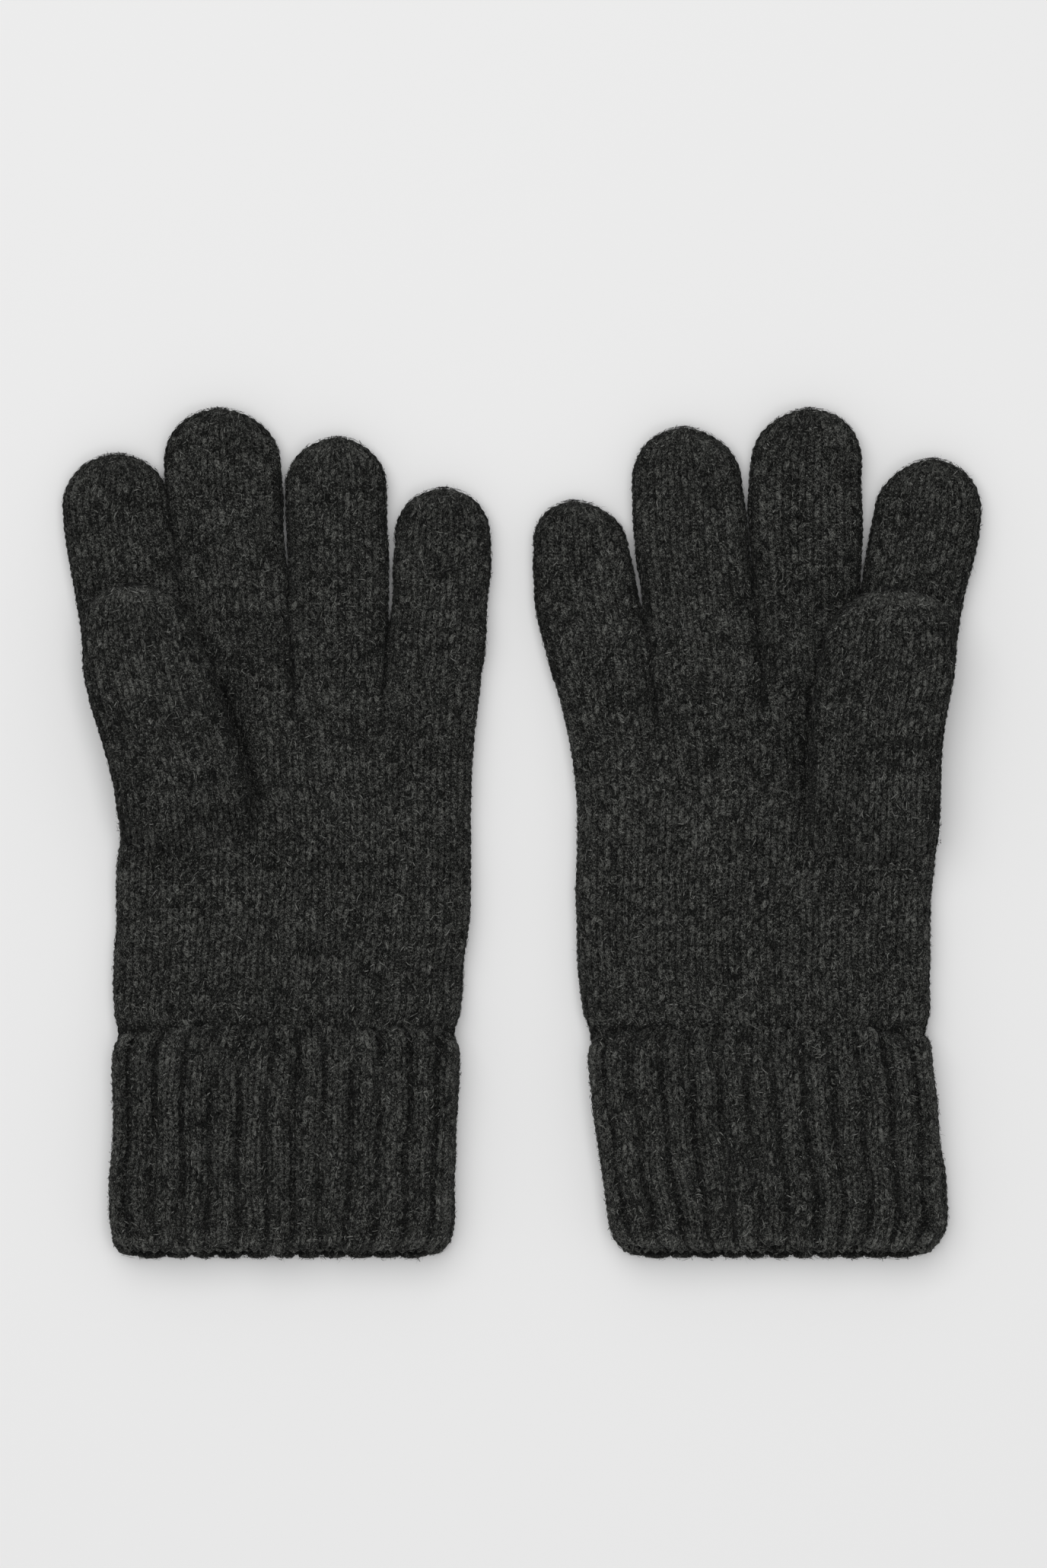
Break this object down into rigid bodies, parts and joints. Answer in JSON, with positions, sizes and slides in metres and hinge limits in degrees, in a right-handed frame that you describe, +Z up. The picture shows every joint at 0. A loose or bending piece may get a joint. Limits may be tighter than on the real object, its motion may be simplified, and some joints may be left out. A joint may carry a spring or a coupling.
{
  "type": "pair of knitted gloves",
  "caption": "Pair of knitted wool gloves with bending fingers and thumbs, flexing wrists and ribbed cuffs that turn down.",
  "frame": {"origin": "on the surface the pair lies on, under the middle of the pair", "axes": "+Z up, out of the palms; +Y from the cuffs to the fingertips; +X from the left glove to the right glove"},
  "size_m": [0.2816, 0.26, 0.0235],
  "materials": {
    "knit": "matte",
    "rib": "matte"
  },
  "bodies": {
    "left_index_mid": {"left_index_mid": "knit"},
    "left_index_tip": {"left_index_tip": "knit"},
    "left_middle_mid": {"left_middle_mid": "knit"},
    "left_middle_tip": {"left_middle_tip": "knit"},
    "left_ring_mid": {"left_ring_mid": "knit"},
    "left_ring_tip": {"left_ring_tip": "knit"},
    "left_little_mid": {"left_little_mid": "knit"},
    "left_little_tip": {"left_little_tip": "knit"},
    "left_hand": {"left_hand_shell": "knit", "left_crotch_joins": "knit", "left_thumb_seam": "knit", "left_index_root": "knit", "left_middle_root": "knit", "left_ring_root": "knit", "left_little_root": "knit"},
    "left_thumb_lower": {"left_thumb_lower": "knit"},
    "left_thumb_upper": {"left_thumb_upper": "knit"},
    "left_wrist": {"left_wrist_sleeve": "knit", "left_wrist_rib": "rib"},
    "left_cuff": {"left_cuff": "rib", "left_cuff_edge": "rib"},
    "right_little_mid": {"right_little_mid": "knit"},
    "right_little_tip": {"right_little_tip": "knit"},
    "right_ring_mid": {"right_ring_mid": "knit"},
    "right_ring_tip": {"right_ring_tip": "knit"},
    "right_middle_mid": {"right_middle_mid": "knit"},
    "right_middle_tip": {"right_middle_tip": "knit"},
    "right_index_mid": {"right_index_mid": "knit"},
    "right_index_tip": {"right_index_tip": "knit"},
    "right_hand": {"right_hand_shell": "knit", "right_crotch_joins": "knit", "right_thumb_seam": "knit", "right_little_root": "knit", "right_ring_root": "knit", "right_middle_root": "knit", "right_index_root": "knit"},
    "right_thumb_lower": {"right_thumb_lower": "knit"},
    "right_thumb_upper": {"right_thumb_upper": "knit"},
    "right_wrist": {"right_wrist_sleeve": "knit", "right_wrist_rib": "rib"},
    "right_cuff": {"right_cuff": "rib", "right_cuff_edge": "rib"}
  },
  "joints": [
    {"name": "left_index_knuckle", "type": "hinge", "parent": "left_hand", "child": "left_index_mid", "pos_m": [-0.1224, 0.0812, 0.0115], "axis": [1, 0, 0], "range_deg": [0, 100]},
    {"name": "left_index_tip_joint", "type": "hinge", "parent": "left_index_mid", "child": "left_index_tip", "pos_m": [-0.12454, 0.0981, 0.0115], "axis": [1, 0, 0], "range_deg": [0, 75]},
    {"name": "left_middle_knuckle", "type": "hinge", "parent": "left_hand", "child": "left_middle_mid", "pos_m": [-0.08861, 0.0812, 0.0115], "axis": [1, 0, 0], "range_deg": [0, 100]},
    {"name": "left_middle_tip_joint", "type": "hinge", "parent": "left_middle_mid", "child": "left_middle_tip", "pos_m": [-0.09068, 0.1056, 0.0115], "axis": [1, 0, 0], "range_deg": [0, 75]},
    {"name": "left_ring_knuckle", "type": "hinge", "parent": "left_hand", "child": "left_ring_mid", "pos_m": [-0.05625, 0.0765, 0.0115], "axis": [1, 0, 0], "range_deg": [0, 100]},
    {"name": "left_ring_tip_joint", "type": "hinge", "parent": "left_ring_mid", "child": "left_ring_tip", "pos_m": [-0.05644, 0.0991, 0.0115], "axis": [1, 0, 0], "range_deg": [0, 75]},
    {"name": "left_little_knuckle", "type": "hinge", "parent": "left_hand", "child": "left_little_mid", "pos_m": [-0.02544, 0.0684, 0.0115], "axis": [1, 0, 0], "range_deg": [0, 100]},
    {"name": "left_little_tip_joint", "type": "hinge", "parent": "left_little_mid", "child": "left_little_tip", "pos_m": [-0.02458, 0.087, 0.0115], "axis": [1, 0, 0], "range_deg": [0, 75]},
    {"name": "left_thumb_lift", "type": "hinge", "parent": "left_hand", "child": "left_thumb_lower", "pos_m": [-0.10175, 0, 0.0123], "axis": [1, 0, 0], "range_deg": [0, 90]},
    {"name": "left_thumb_bend", "type": "hinge", "parent": "left_thumb_lower", "child": "left_thumb_upper", "pos_m": [-0.10993, 0.031, 0.0235], "axis": [1, 0, 0], "range_deg": [0, 50]},
    {"name": "left_wrist_bend", "type": "hinge", "parent": "left_hand", "child": "left_wrist", "pos_m": [-0.0722, -0.0363, 0.012], "axis": [-1, 0, 0], "range_deg": [0, 60]},
    {"name": "left_cuff_turn_down", "type": "slide", "parent": "left_wrist", "child": "left_cuff", "axis": [-0.0173, -0.9999, 0], "range_m": [0, 0.055]},
    {"name": "right_little_knuckle", "type": "hinge", "parent": "right_hand", "child": "right_little_mid", "pos_m": [0.02135, 0.0642, 0.0115], "axis": [1, 0, 0], "range_deg": [0, 100]},
    {"name": "right_little_tip_joint", "type": "hinge", "parent": "right_little_mid", "child": "right_little_tip", "pos_m": [0.01844, 0.0828, 0.0115], "axis": [1, 0, 0], "range_deg": [0, 75]},
    {"name": "right_ring_knuckle", "type": "hinge", "parent": "right_hand", "child": "right_ring_mid", "pos_m": [0.05373, 0.0777, 0.0115], "axis": [1, 0, 0], "range_deg": [0, 100]},
    {"name": "right_ring_tip_joint", "type": "hinge", "parent": "right_ring_mid", "child": "right_ring_tip", "pos_m": [0.05136, 0.1016, 0.0115], "axis": [1, 0, 0], "range_deg": [0, 75]},
    {"name": "right_middle_knuckle", "type": "hinge", "parent": "right_hand", "child": "right_middle_mid", "pos_m": [0.08748, 0.0805, 0.0115], "axis": [1, 0, 0], "range_deg": [0, 100]},
    {"name": "right_middle_tip_joint", "type": "hinge", "parent": "right_middle_mid", "child": "right_middle_tip", "pos_m": [0.08711, 0.1056, 0.0115], "axis": [1, 0, 0], "range_deg": [0, 75]},
    {"name": "right_index_knuckle", "type": "hinge", "parent": "right_hand", "child": "right_index_mid", "pos_m": [0.12232, 0.08, 0.0115], "axis": [1, 0, 0], "range_deg": [0, 100]},
    {"name": "right_index_tip_joint", "type": "hinge", "parent": "right_index_mid", "child": "right_index_tip", "pos_m": [0.1245, 0.097, 0.0115], "axis": [1, 0, 0], "range_deg": [0, 75]},
    {"name": "right_thumb_lift", "type": "hinge", "parent": "right_hand", "child": "right_thumb_lower", "pos_m": [0.1073, -0.0025, 0.0123], "axis": [1, 0, 0], "range_deg": [0, 90]},
    {"name": "right_thumb_bend", "type": "hinge", "parent": "right_thumb_lower", "child": "right_thumb_upper", "pos_m": [0.11035, 0.029, 0.0235], "axis": [1, 0, 0], "range_deg": [0, 50]},
    {"name": "right_wrist_bend", "type": "hinge", "parent": "right_hand", "child": "right_wrist", "pos_m": [0.0726, -0.0363, 0.012], "axis": [-1, 0, 0], "range_deg": [0, 60]},
    {"name": "right_cuff_turn_down", "type": "slide", "parent": "right_wrist", "child": "right_cuff", "axis": [0.096, -0.9954, 0], "range_m": [0, 0.055]},
    {"name": "apart", "type": "slide", "parent": "left_hand", "child": "right_hand", "axis": [1, 0, 0], "range_m": [0, 0.15]}
  ]
}
